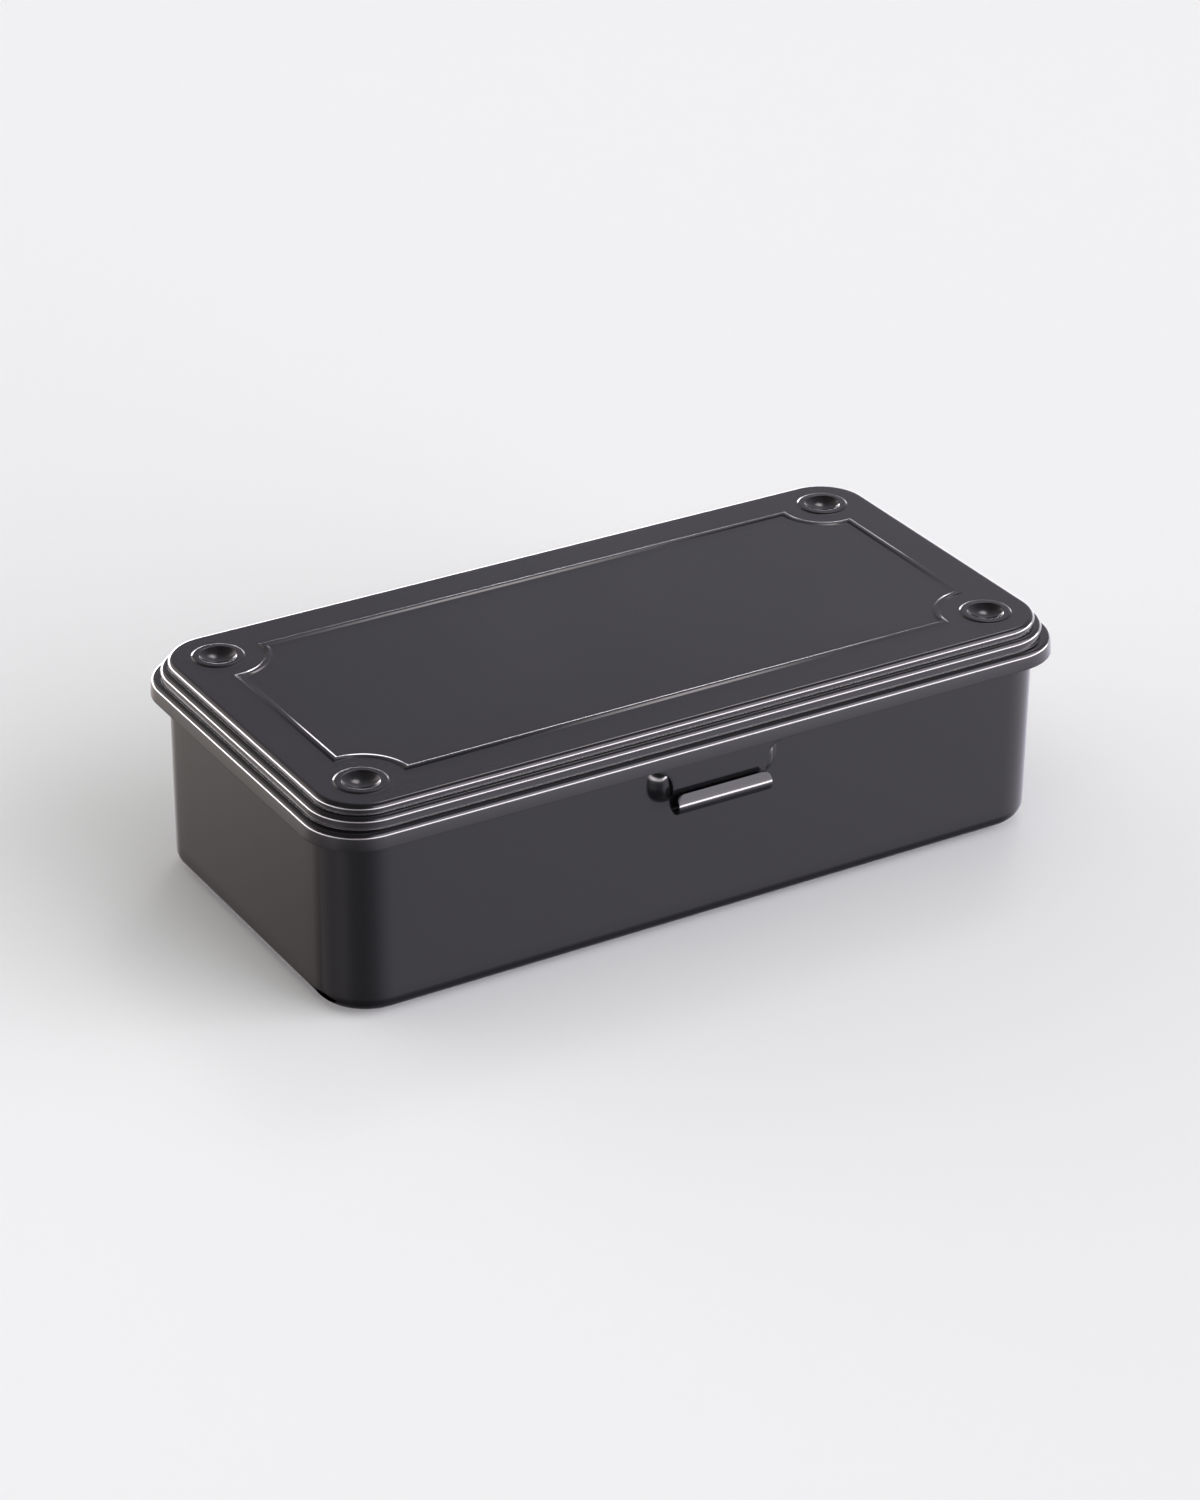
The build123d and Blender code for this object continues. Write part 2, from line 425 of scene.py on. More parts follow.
def wire_pin_tree() -> Grower:
    """The tree for a straight wire pin along X with rounded ends."""
    grower = Grower("wire_pin", (("Middle", "Vector"), ("Length", "Float"), ("Radius", "Float"),
                                 ("Rounding", "Float"), ("Rings", "Int"), ("Sides", "Int"),
                                 ("Finish", "Material")))
    n, source = grower.nodes, grower.inputs
    half = n.math("MULTIPLY", source["Length"], 0.5)
    far = n.set(n.add("CombineXYZ"), X=half).outputs[0]
    near = n.set(n.add("CombineXYZ"), X=n.math("MULTIPLY", half, -1.0)).outputs[0]
    line = n.geo("CurvePrimitiveLine", Start=near, End=far)
    even = n.geo("ResampleCurve", Curve=line, Count=source["Rings"])
    along = n.geo("SplineParameter")
    nearer = n.math("MINIMUM", along, n.math("SUBTRACT", 1.0, along))
    to_end = n.math("MULTIPLY", nearer, source["Length"])
    reached = n.math("MINIMUM", n.math("DIVIDE", to_end, source["Rounding"]), 1.0)
    short = n.math("SUBTRACT", 1.0, reached)
    arc = n.math("SQRT", n.math("SUBTRACT", 1.0, n.math("MULTIPLY", short, short)))
    fall = n.math("SUBTRACT", 1.0, arc)
    lost = n.math("MULTIPLY", fall, source["Rounding"])
    size = n.math("DIVIDE", n.math("SUBTRACT", source["Radius"], lost), source["Radius"])
    sized = n.geo("SetCurveRadius", Curve=even, Radius=size)
    ring = n.geo("CurvePrimitiveCircle", Resolution=source["Sides"], Radius=source["Radius"])
    wire = n.geo("CurveToMesh", Curve=sized, Profile_Curve=ring, Fill_Caps=True)
    if "Scale" in wire.node.inputs:
        n.set(wire.node, Scale=size)
    moved = n.geo("SetPosition", Geometry=wire, Offset=source["Middle"])
    grower.finish(moved, source["Finish"])
    return grower


def weld_tree() -> Grower:
    """The tree for a row of spot welds along X: each a low ring standing out towards +Y."""
    grower = Grower("spot_welds", (("Start", "Vector"), ("Step", "Vector"), ("Count", "Int"),
                                   ("Radius", "Float"), ("Bead", "Float"), ("Finish", "Material")))
    n, source = grower.nodes, grower.inputs
    row = n.geo("MeshLine", Count=source["Count"], Start_Location=source["Start"],
                Offset=source["Step"])
    ring = n.geo("CurvePrimitiveCircle", Resolution=36, Radius=source["Radius"])
    bead = n.geo("CurvePrimitiveCircle", Resolution=12, Radius=source["Bead"])
    weld = n.geo("CurveToMesh", Curve=ring, Profile_Curve=bead)
    turned = n.geo("Transform", Geometry=weld, Rotation=(pi / 2, 0.0, 0.0))
    grower.finish(n.geo("InstanceOnPoints", Points=row, Instance=turned), source["Finish"])
    return grower


# ---- the box


@dataclass
class Sheet:
    """Sizes that the pieces share, in millimetres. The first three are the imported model's."""

    length: float
    depth: float
    top: float
    thickness: float = 0.6
    raw_edge: float = 0.26
    pad_height: float = 0.3
    dimple_x: float = 85.6
    dimple_y: float = 35.8
    flange_corner: float = 14.4
    flange_drop: float = 5.2
    skirt_height: float = 4.1
    skirt_flare: float = 0.22
    gap: float = 0.3
    short_field: float = 30.0
    short_columns: int = 9

    @property
    def panel_top(self) -> float:
        """Height of the lid's panel."""
        return self.top - self.pad_height

    @property
    def flange_top(self) -> float:
        """Height of the lid's flange."""
        return self.panel_top - self.flange_drop

    @property
    def skirt_bottom(self) -> float:
        """Height of the lid's lower edge."""
        return self.flange_top - self.skirt_height

    @property
    def dimples(self) -> list[Flat]:
        """Middles of the four stacking dimples."""
        return [(i * self.dimple_x, j * self.dimple_y) for i in (-1, 1) for j in (-1, 1)]

    def outline(self, middle: Sequence[float], right: Sequence[float]) -> Footprint:
        """The outline of a shell.

        Args:
            middle: Columns of its long sides near their middle, from left to right.
            right: Columns to the right of those, which the left side mirrors.

        Returns:
            The outline.
        """
        columns = (*(-x for x in reversed(right)), *middle, *right)
        short = spread(-self.short_field, self.short_field, self.short_columns)
        return Footprint(self.length, self.depth, columns, tuple(short))


def circle(centre: Flat, radius: float, height: float, steps: int = 56) -> list[Point]:
    """A closed loop of points round a centre."""
    turns = [2 * pi * k / steps for k in range(steps)]
    return [(centre[0] + radius * cos(t), centre[1] + radius * sin(t), height) for t in turns]


def smooth(value: float) -> float:
    """An S-shaped rise from 0 to 1."""
    value = min(max(value, 0.0), 1.0)
    return value * value * (3 - 2 * value)


def ramped(value: float) -> float:
    """A straight rise from 0 to 1 with small rounds at its foot and its crest."""
    bend = RAMP_BEND
    value = min(max(value, 0.0), 1.0)
    low, high = min(value, bend), max(value - 1 + bend, 0.0)
    return (low * low / (2 * bend) + max(min(value, 1 - bend) - bend, 0.0)
            + high - high * high / (2 * bend)) / (1 - bend)


@dataclass
class Lid:
    """The lid and the latch tongue, which are one pressing."""

    sheet: Sheet
    plateau_inset: float = 3.8
    plateau_corner: float = 12.2
    plateau_edge: float = 1.3
    step_drop: float = 2.3
    step_inset: float = 2.0
    step_corner: float = 14.0
    step_edge: float = 1.2
    flange_edge: float = 1.2
    hollow: float = 0.03
    hem: float = 0.2
    pad_radius: float = 6.5
    pad_slope: float = 0.6
    pad_foot: float = 0.06
    bowl_radius: float = 4.6
    bowl_depth: float = 1.5
    bowl_lip: float = 0.5
    rib_height: float = 0.3
    rib_width: float = 2.1
    rib_slope: float = 0.7
    rib_margin_x: float = 14.5
    rib_margin_y: float = 14.85
    rib_notch: float = 10.8
    notch_fade: float = 0.5
    notch_rise: float = 4
    notch_steps: int = 22
    rib_steps: int = 10
    neck_half: float = 12.7
    neck_fillet: float = 5.5
    bend_start: float = 7.0
    hook_depth: float = 1.1
    tongue_drop: float = 11.7
    lip_leg: float = 1.6
    lip_lean: float = 40.0
    lip_reach: float = 3.0
    lip_corner: float = 1.5
    hinge_offset: float = 55.0
    knuckle_radius: float = 1.8
    knuckle_width: float = 12.0
    tab_root: float = 1.0
    curl_turn: float = 300.0
    tongue_columns: int = 25
    tab_columns: int = 5

    @property
    def front(self) -> float:
        """Y of the front skirt's outer face."""
        return -self.sheet.depth / 2

    @property
    def neck_root(self) -> float:
        """Half the tongue's width where its fillets leave the skirt."""
        return self.neck_half + self.neck_fillet

    def footprint(self) -> Footprint:
        """The lid's outline, with columns where the tongue and the hinge tabs leave the skirt."""
        tongue = spread(-self.neck_root, self.neck_root, self.tongue_columns)
        half_tab = self.knuckle_width / 2
        tab = spread(self.hinge_offset - half_tab, self.hinge_offset + half_tab, self.tab_columns)
        return self.sheet.outline(tongue, [26.0, 35.0, 42.0, *tab, 68.0, 76.0])

    def rings(self) -> list[Ring]:
        """The stepped edge, from the panel down to the skirt's lower edge."""
        top, flange = self.sheet.panel_top, self.sheet.flange_top
        step = top - self.step_drop
        flare = self.sheet.skirt_flare
        return [
            *round_over(self.plateau_inset, self.plateau_corner, top, self.plateau_edge, 10),
            *flare_out(self.plateau_inset, self.plateau_corner, step, self.hollow, 4),
            *round_over(self.step_inset, self.step_corner, step, self.step_edge, 7),
            *flare_out(self.step_inset, self.step_corner, flange, self.hollow, 4),
            *round_over(flare, self.sheet.flange_corner - flare, flange, self.flange_edge, 7),
            Ring(0.0, self.sheet.flange_corner, self.sheet.skirt_bottom + self.hem),
            Ring(0.0, self.sheet.flange_corner, self.sheet.skirt_bottom),
        ]

    def rib_loop(self, inset: float, height: float) -> list[Point]:
        """One closed line of the notched rib.

        Args:
            inset: How far inside the rib's outer edge the line runs.
            height: Height of the line above the panel.

        Returns:
            The line's points, anticlockwise.
        """
        half_x = self.sheet.length / 2 - self.rib_margin_x - inset
        half_y = self.sheet.depth / 2 - self.rib_margin_y - inset
        radius = self.rib_notch + inset
        off_x, off_y = self.sheet.dimple_x - half_x, self.sheet.dimple_y - half_y
        from_x = atan(off_y / sqrt(radius**2 - off_y ** 2))
        from_y = atan(off_x / sqrt(radius**2 - off_x ** 2))
        steps = self.notch_steps
        loop: list[Point] = []
        for sx, sy in ((1, -1), (1, 1), (-1, 1), (-1, -1)):
            start, end = pi + from_x, 3 * pi / 2 - from_y
            arc = [k / steps for k in range(steps + 1)]
            if sx * sy > 0:
                arc.reverse()
            for share in arc:
                angle = start + (end - start) * share
                inner = smooth(self.notch_rise * share) * smooth(self.notch_rise * (1 - share))
                fade = 1 - self.notch_fade * inner
                loop.append((
                    sx * (self.sheet.dimple_x + radius * cos(angle)),
                    sy * (self.sheet.dimple_y + radius * sin(angle)),
                    self.sheet.panel_top + height * fade,
                ))
        return loop

    def rib_loops(self) -> list[list[Point]]:
        """All the lines of the rib, over its two slopes."""
        steps = self.rib_steps
        loops = []
        for k in range(-1, steps + 1):
            inset = self.rib_slope * k / steps
            height = self.rib_height * ramped(k / steps)
            loops.append(self.rib_loop(inset, height))
            loops.append(self.rib_loop(self.rib_width - inset, height))
        return loops

    def dimple_height(self, radius: float) -> float:
        """Height above the panel of a dimple's surface at a distance from its middle."""
        pad = self.sheet.pad_height * ramped((self.pad_radius - radius) / self.pad_slope)
        ball = (self.bowl_radius**2 + self.bowl_depth**2) / (2 * self.bowl_depth)
        if radius >= self.bowl_radius + self.bowl_lip:
            return pad
        drop = self.bowl_depth - ball + sqrt(ball**2 - min(radius, self.bowl_radius) ** 2)
        share = smooth((self.bowl_radius + self.bowl_lip - radius) / (2 * self.bowl_lip))
        return pad - drop * share

    def dimple_loops(self) -> list[list[Point]]:
        """The rings of all four dimples."""
        pad = [self.pad_radius + self.pad_foot - self.pad_slope * k / 10 for k in range(12)]
        lip_start = self.bowl_radius + self.bowl_lip
        lip = [lip_start - 2 * self.bowl_lip * k / 8 for k in range(-1, 9)]
        bowl = [3.6, 3.0, 2.4, 1.8, 1.2, 0.6]
        top = self.sheet.panel_top
        return [circle(centre, radius, top + self.dimple_height(radius))
                for centre in self.sheet.dimples for radius in (*pad, *lip, *bowl)]

    def neck_rows(self) -> list[list[Point]]:
        """The tongue's rows, from the skirt's lower edge to the top of its finger lip."""
        thick = self.sheet.thickness
        rows: list[Point] = []
        for angle in quarter(12):
            half = self.neck_root - self.neck_fillet * sin(angle)
            rows.append((half, 0.0, self.neck_fillet * (1 - cos(angle))))
        rows.append((self.neck_half, 0.0, self.bend_start))
        middle = thick / 2
        roll = (self.hook_depth + self.lip_reach) / 2
        roll_drop = self.tongue_drop - middle - roll
        run = roll_drop - self.bend_start
        bend = (run**2 + self.hook_depth**2) / (4 * self.hook_depth)
        turn = 2 * atan(self.hook_depth / run)
        for k in range(1, 7):
            angle = turn * k / 6
            out = -(bend + middle) * (1 - cos(angle))
            rows.append((self.neck_half, out, self.bend_start + (bend + middle) * sin(angle)))
        for k in range(1, 7):
            angle = turn * (1 - k / 6)
            out = -self.hook_depth + (bend - middle) * (1 - cos(angle))
            rows.append((self.neck_half, out, roll_drop - (bend - middle) * sin(angle)))
        inner = roll - middle
        lean = radians(self.lip_lean)
        for k in range(1, 23):
            angle = (pi + lean) * k / 22
            out = -self.hook_depth + inner * (1 - cos(angle))
            rows.append((self.neck_half, out, roll_drop + inner * sin(angle)))
        leg_out, leg_drop = rows[-1][1:]
        for angle in quarter(7):
            half = self.neck_half - self.lip_corner * (1 - cos(angle))
            run = self.lip_leg - self.lip_corner * (1 - sin(angle))
            rows.append((half, leg_out - run * sin(lean), leg_drop - run * cos(lean)))
        shares = spread(-1.0, 1.0, self.tongue_columns)
        return [
            [(half * s, self.front - out, self.sheet.skirt_bottom - drop) for s in shares]
            for half, out, drop in rows
        ]

    def tab_rows(self, middle: float) -> list[list[Point]]:
        """The rows of one hinge tab, from the rear skirt down and round the pin.

        Args:
            middle: X of the hinge's middle.

        Returns:
            Rows of points that run towards -X, as the skirt's rear side does.
        """
        back = self.sheet.depth / 2
        bore = self.knuckle_radius - self.sheet.thickness
        axis_y = back + bore
        axis_z = self.sheet.skirt_bottom - self.sheet.gap - self.knuckle_radius
        half = self.knuckle_width / 2
        columns = spread(middle + half, middle - half, self.tab_columns)
        root = self.sheet.skirt_bottom
        line = [(back, root), (back, root - self.tab_root), (back, axis_z)]
        for k in range(1, 31):
            angle = pi + radians(self.curl_turn) * k / 30
            line.append((axis_y + bore * cos(angle), axis_z + bore * sin(angle)))
        return [[(x, y, z) for x in columns] for y, z in line]

    def build(self) -> Object:
        """Make the lid with its tongue and its hinge tabs."""
        skin = Skin("lid_with_tongue")
        rings = self.rings()
        outline = self.footprint()
        skin.grid([outline.points(r) for r in reversed(rings)], closed=True)
        edge = outline.points(rings[0])
        loops = [edge, outline.points(rings[0].guard()), *self.rib_loops(), *self.dimple_loops()]
        bottom = self.sheet.panel_top + self.dimple_height(0.0)
        centres = [(x, y, bottom) for x, y in self.sheet.dimples]
        skin.panel(loops, centres, up=True)
        skin.grid(list(reversed(self.neck_rows())), closed=False)
        for side in (-1, 1):
            skin.grid(list(reversed(self.tab_rows(side * self.hinge_offset))), closed=False)
        return skin.pressed(self.sheet)


@dataclass
class Tray:
    """The drawn tray with its turned rim, its catch boss and its four feet."""

    sheet: Sheet
    wall_inset: float = 3.6
    wall_corner: float = 13.5
    bottom_edge: float = 4.3
    rim_bend: float = 0.6
    lip_bend: float = 0.12
    lip_height: float = 1.6
    foot_height: float = 1.0
    foot_root: float = 4.3
    foot_toe: float = 2.3
    boss_width: float = 33.5
    boss_top: float = 0.2
    boss_drop: float = 9.2
    boss_reach: float = 2.6
    boss_end: float = 4.0
    boss_soft: float = 0.9
    boss_round: float = 2.5
    boss_ease: float = 0.15
    boss_dome: float = 2.2
    boss_field: float = 19.2
    boss_reach_x: float = 20.0
    boss_columns: int = 97
    boss_rows: int = 33
    boss_foot: float = 10.6
    foot_ease: float = 0.3
    foot_guard: float = 0.7

    def footprint(self) -> Footprint:
        """The tray's outline, with close columns over the catch boss."""
        near = spread(-self.boss_field, self.boss_field, self.boss_columns)
        return self.sheet.outline(near, [21.0, 26.0, 35.0, 45.0, 55.0, 66.0, 76.0])

    def boss(self, x: float, z: float) -> float:
        """How far the catch boss stands out of the front wall at a place on it."""
        middle = self.sheet.skirt_bottom - (self.boss_drop + self.boss_top) / 2
        over_x = abs(x) - self.boss_width / 2 + self.boss_end
        over_z = abs(z - middle) - (self.boss_drop - self.boss_top) / 2 + self.boss_end
        outside = hypot(max(over_x, 0.0), max(over_z, 0.0)) + min(max(over_x, over_z), 0.0)
        inside = self.boss_end - outside
        share = (inside + self.boss_soft) / (self.boss_round + self.boss_soft)
        share = min(max(share, 0.0), 1.0)
        eased = share * share * (1 + self.boss_ease) / (share + self.boss_ease)
        return self.boss_reach * (1 - (1 - min(eased, 1.0)) ** self.boss_dome)

    def rings(self) -> list[Ring]:
        """The outer face from the floor's edge up the wall, out under the rim and down its lip."""
        rim_top = self.sheet.flange_top - self.sheet.thickness - self.sheet.gap
        under = rim_top - self.sheet.thickness
        lip_inset = 2 * self.sheet.thickness + self.sheet.gap
        lip_corner = self.sheet.flange_corner - lip_inset
        wall = self.wall_inset, self.wall_corner
        bottom, top = self.sheet.skirt_bottom - self.boss_foot, under - self.rim_bend - 0.1
        heights = (8.0, 16.0, 24.0, 32.0, *spread(bottom, top, self.boss_rows))
        return [
            *round_over(*wall, self.foot_height, self.bottom_edge, 10, rise=1),
            *(Ring(*wall, height) for height in heights),
            *flare_out(*wall, under, self.rim_bend, 5, rise=-1),
            *round_over(lip_inset, lip_corner, under, self.lip_bend, 3),
            Ring(lip_inset, lip_corner, rim_top - self.lip_height),
        ]

    def foot_loops(self) -> list[list[Point]]:
        """The rings of the four feet, which reach down from the floor."""
        slope = self.foot_root - self.foot_toe + self.foot_ease
        rim = self.foot_root + self.foot_ease
        radii = [self.foot_root + self.foot_guard, rim]
        radii += [rim - slope * k / 8 for k in range(1, 9)]
        loops = []
        for centre in self.sheet.dimples:
            for radius in radii:
                rise = 1 - smooth((rim - radius) / slope)
                loops.append(circle(centre, radius, self.foot_height * rise))
        return loops

    def build(self) -> Object:
        """Make the tray."""
        skin = Skin("tray_shell")
        outline = self.footprint()
        rings = self.rings()
        rows = []
        for ring in rings:
            row = []
            for x, y, z in outline.points(ring):
                on_front = y < 0 and abs(x) < self.boss_reach_x and ring.inset == self.wall_inset
                row.append((x, y - self.boss(x, z) if on_front else y, z))
            rows.append(row)
        skin.grid(rows, closed=True)
        centres = [(x, y, 0.0) for x, y in self.sheet.dimples]
        inner = outline.points(rings[0].guard())
        skin.panel([rows[0], inner, *self.foot_loops()], centres, up=False)
        return skin.pressed(self.sheet)


@dataclass
class Hinge:
    """One hinge: a leaf welded to the tray's back wall, with two curls that grip a wire pin."""

    side: str
    sheet: Sheet
    arm_width: float = 6.0
    bend: float = 0.5
    corner: float = 1.6
    curl_turn: float = 300.0
    pin_rounding: float = 0.4
    pin_rings: int = 180
    pin_sides: int = 32
    weld_radius: float = 1.5
    weld_bead: float = 0.14
    weld_share: float = 0.5
    weld_clearance: float = 0.4

    def corners(self, node: str) -> tuple[Vector, Vector]:
        """The lowest and highest corners of one of the hinge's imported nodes, in millimetres."""
        low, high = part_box(f"{node}_{self.side}")
        return Vector(low) / MM, Vector(high) / MM

    def leaf(self) -> Object:
        """Make the leaf."""
        low, high = self.corners("hinge_leaf")
        pin_low, pin_high = self.corners("hinge_pin")
        axis_y, axis_z = (pin_low.y + pin_high.y) / 2, (pin_low.z + pin_high.z) / 2
        radius = high.y - axis_y
        middle, half = (low.x + high.x) / 2, (high.x - low.x) / 2
        face, arm_z = low.y + self.sheet.thickness, axis_z - radius
        inner = half - self.arm_width
        arm = spread(half, inner, 4)
        shares = [*arm, *spread(inner, -inner, 6)[1:-1], *spread(-inner, -half, 4)]
        skin = Skin(f"hinge_plate_{self.side}")
        rows = []
        for angle in quarter(6):
            width = 1 - self.corner * (1 - sin(angle)) / half
            height = low.z + self.corner * (1 - cos(angle))
            rows.append([(middle + x * width, face, height) for x in shares])
        for height in spread(low.z + self.corner, arm_z - self.bend, 4)[1:]:
            rows.append([(middle + x, face, height) for x in shares])
        skin.grid(rows, closed=False)
        line = [(face + self.bend * (1 - cos(angle)), arm_z - self.bend * (1 - sin(angle)))
                for angle in quarter(6)]
        for k in range(33):
            angle = -pi / 2 + radians(self.curl_turn) * k / 32
            line.append((axis_y + radius * cos(angle), axis_z + radius * sin(angle)))
        for columns in (shares[:4], shares[-4:]):
            skin.grid([[(middle + x, y, z) for x in columns] for y, z in line], closed=False)
        return skin.pressed(self.sheet)

    def pin(self, tree: Grower, finish: Material) -> Object:
        """Grow the pin from the wire pin's tree."""
        low, high = self.corners("hinge_pin")
        return tree.grow(
            f"hinge_wire_{self.side}", Middle=(low + high) / 2 * MM, Length=(high.x - low.x) * MM,
            Radius=(high.y - low.y) / 2 * MM, Rounding=self.pin_rounding * MM, Rings=self.pin_rings,
            Sides=self.pin_sides, Finish=finish,
        )

    def welds(self, tree: Grower, finish: Material) -> Object:
        """Grow the two spot welds that hold the leaf, under its enamel, from the weld's tree."""
        low, high = self.corners("hinge_leaf")
        reach = (high.x - low.x) / 2 * self.weld_share
        middle = (low.x + high.x) / 2
        height = low.z + self.corner + self.weld_radius + self.weld_clearance
        start = Vector((middle - reach, low.y + self.sheet.thickness, height))
        return tree.grow(
            f"hinge_welds_{self.side}", Start=start * MM, Step=Vector((2 * reach, 0.0, 0.0)) * MM,
            Count=2, Radius=self.weld_radius * MM, Bead=self.weld_bead * MM, Finish=finish,
        )


# ---- finishes


def paint_grain_group() -> NodeTree:
    """The group for baked enamel's surface: fine grain over a slow orange peel.

    Returns:
        The group, with a Height to bump and a Mottle from 0 to 1.
    """
    group = bpy.data.node_groups.new("paint_grain", "ShaderNodeTree")
    face = group.interface
    for name, default in (("Grain Scale", 1500.0), ("Peel Scale", 260.0), ("Peel Share", 0.5)):
        made = face.new_socket(name, in_out="INPUT", socket_type="NodeSocketFloat")
        made.default_value = default
    for name in ("Height", "Mottle"):
        face.new_socket(name, in_out="OUTPUT", socket_type="NodeSocketFloat")
    n = Nodes(group)
    source = group.nodes.new("NodeGroupInput").outputs
    place = n.add("TexCoord").outputs["Object"]
    grain = n.set(n.add("TexNoise"), Vector=place, Scale=source["Grain Scale"], Detail=2.0)
    peel = n.set(n.add("TexNoise"), Vector=place, Scale=source["Peel Scale"], Detail=1.0)
    cloud = n.set(n.add("TexNoise"), Vector=place, Scale=14.0, Detail=3.0, Roughness=0.6)
    share = source["Peel Share"]
    fine = n.math("MULTIPLY", grain.outputs["Fac"], n.math("SUBTRACT", 1.0, share))
    height = n.math("ADD", fine, n.math("MULTIPLY", peel.outputs["Fac"], share))
    sink = group.nodes.new("NodeGroupOutput")
    n.tree.links.new(height, sink.inputs["Height"])
    n.tree.links.new(n.spread(cloud.outputs["Fac"], 0.3, 0.7, 0.0, 1.0), sink.inputs["Mottle"])
    return group


def started(name: str) -> tuple[Material, Nodes, Node]:
    """A new material with its nodes and its shader."""
    made = bpy.data.materials.new(name)
    made.use_nodes = True
    return made, Nodes(made.node_tree), made.node_tree.nodes["Principled BSDF"]


@dataclass(frozen=True)
class Finish:
    """A grained surface, whose colour a slow mask varies."""

    name: str
    shade: Colour
    roughness: float

    def material(self, grain_group: NodeTree) -> Material:
        """Build the material.

        Args:
            grain_group: The shared grain group.

        Returns:
            The new material.
        """
        made, n, shader = started(self.name)
        self.dress(n, shader, n.add("Group", node_tree=grain_group).outputs)
        return made

    def dress(self, n: Nodes, shader: Node, grain: object) -> None:
        """Set the shader's sockets from the grain group's outputs."""
        raise NotImplementedError

    def mottled(self, n: Nodes, mottle: object, share: float) -> NodeSocket:
        """The colour, of which the given share is left where the mask is 1."""
        darker = tuple(share * c for c in self.shade)
        tint = n.add("Mix", data_type="RGBA")
        return n.set(tint, i0=mottle, i6=(*self.shade, 1.0), i7=(*darker, 1.0)).outputs[2]


@dataclass(frozen=True)
class Enamel(Finish):
    """Satin black enamel baked on to steel."""

    grain: float
    grain_depth: float = 0.00002
    gloss: float = 0.01
    haze: float = 0.02
    dull_share: float = 0.8

    def dress(self, n: Nodes, shader: Node, grain: object) -> None:
        """Mottle the colour and the gloss, and bump the grain."""
        mottle = grain["Mottle"]
        tint = self.mottled(n, mottle, self.dull_share)
        rough = n.spread(mottle, 0.0, 1.0, self.roughness - self.gloss, self.roughness + self.haze)
        bump = n.set(n.add("Bump"), Strength=self.grain, Distance=self.grain_depth,
                     Height=grain["Height"])
        n.set(shader, Base_Color=tint, Roughness=rough, Normal=bump.outputs[0], IOR=1.5)


@dataclass(frozen=True)
class Steel(Finish):
    """Bright drawn steel wire, with fine lines round it."""

    line_scale: float
    line_pitch: float = 300.0
    line_strength: float = 0.3
    line_depth: float = 0.00001
    gloss: float = 0.07
    haze: float = 0.1
    worn_share: float = 0.7

    def dress(self, n: Nodes, shader: Node, grain: object) -> None:
        """Draw the lines in the gloss and the bump, and mottle the colour."""
        place = n.add("TexCoord").outputs["Object"]
        stretched = n.set(n.add("Mapping"), Vector=place, Scale=(self.line_scale, 1.0, 1.0))
        lines = n.set(n.add("TexNoise"), Vector=stretched.outputs[0], Scale=self.line_pitch,
                      Detail=2.0).outputs["Fac"]
        rough = n.spread(lines, 0.3, 0.7, self.roughness - self.gloss, self.roughness + self.haze)
        tint = self.mottled(n, grain["Mottle"], self.worn_share)
        bump = n.set(n.add("Bump"), Strength=self.line_strength, Distance=self.line_depth,
                     Height=lines)
        n.set(shader, Base_Color=tint, Roughness=rough, Normal=bump.outputs[0], Metallic=1.0)


# ---- studio


@dataclass(frozen=True)
class Glow:
    """A soft-edged patch on the surround, which darkens it where its radiance is negative."""

    azimuth: float
    half_width: float
    bottom: float
    top: float
    radiance: float
    soft: float = 5.0
    warmth: float = 0.0


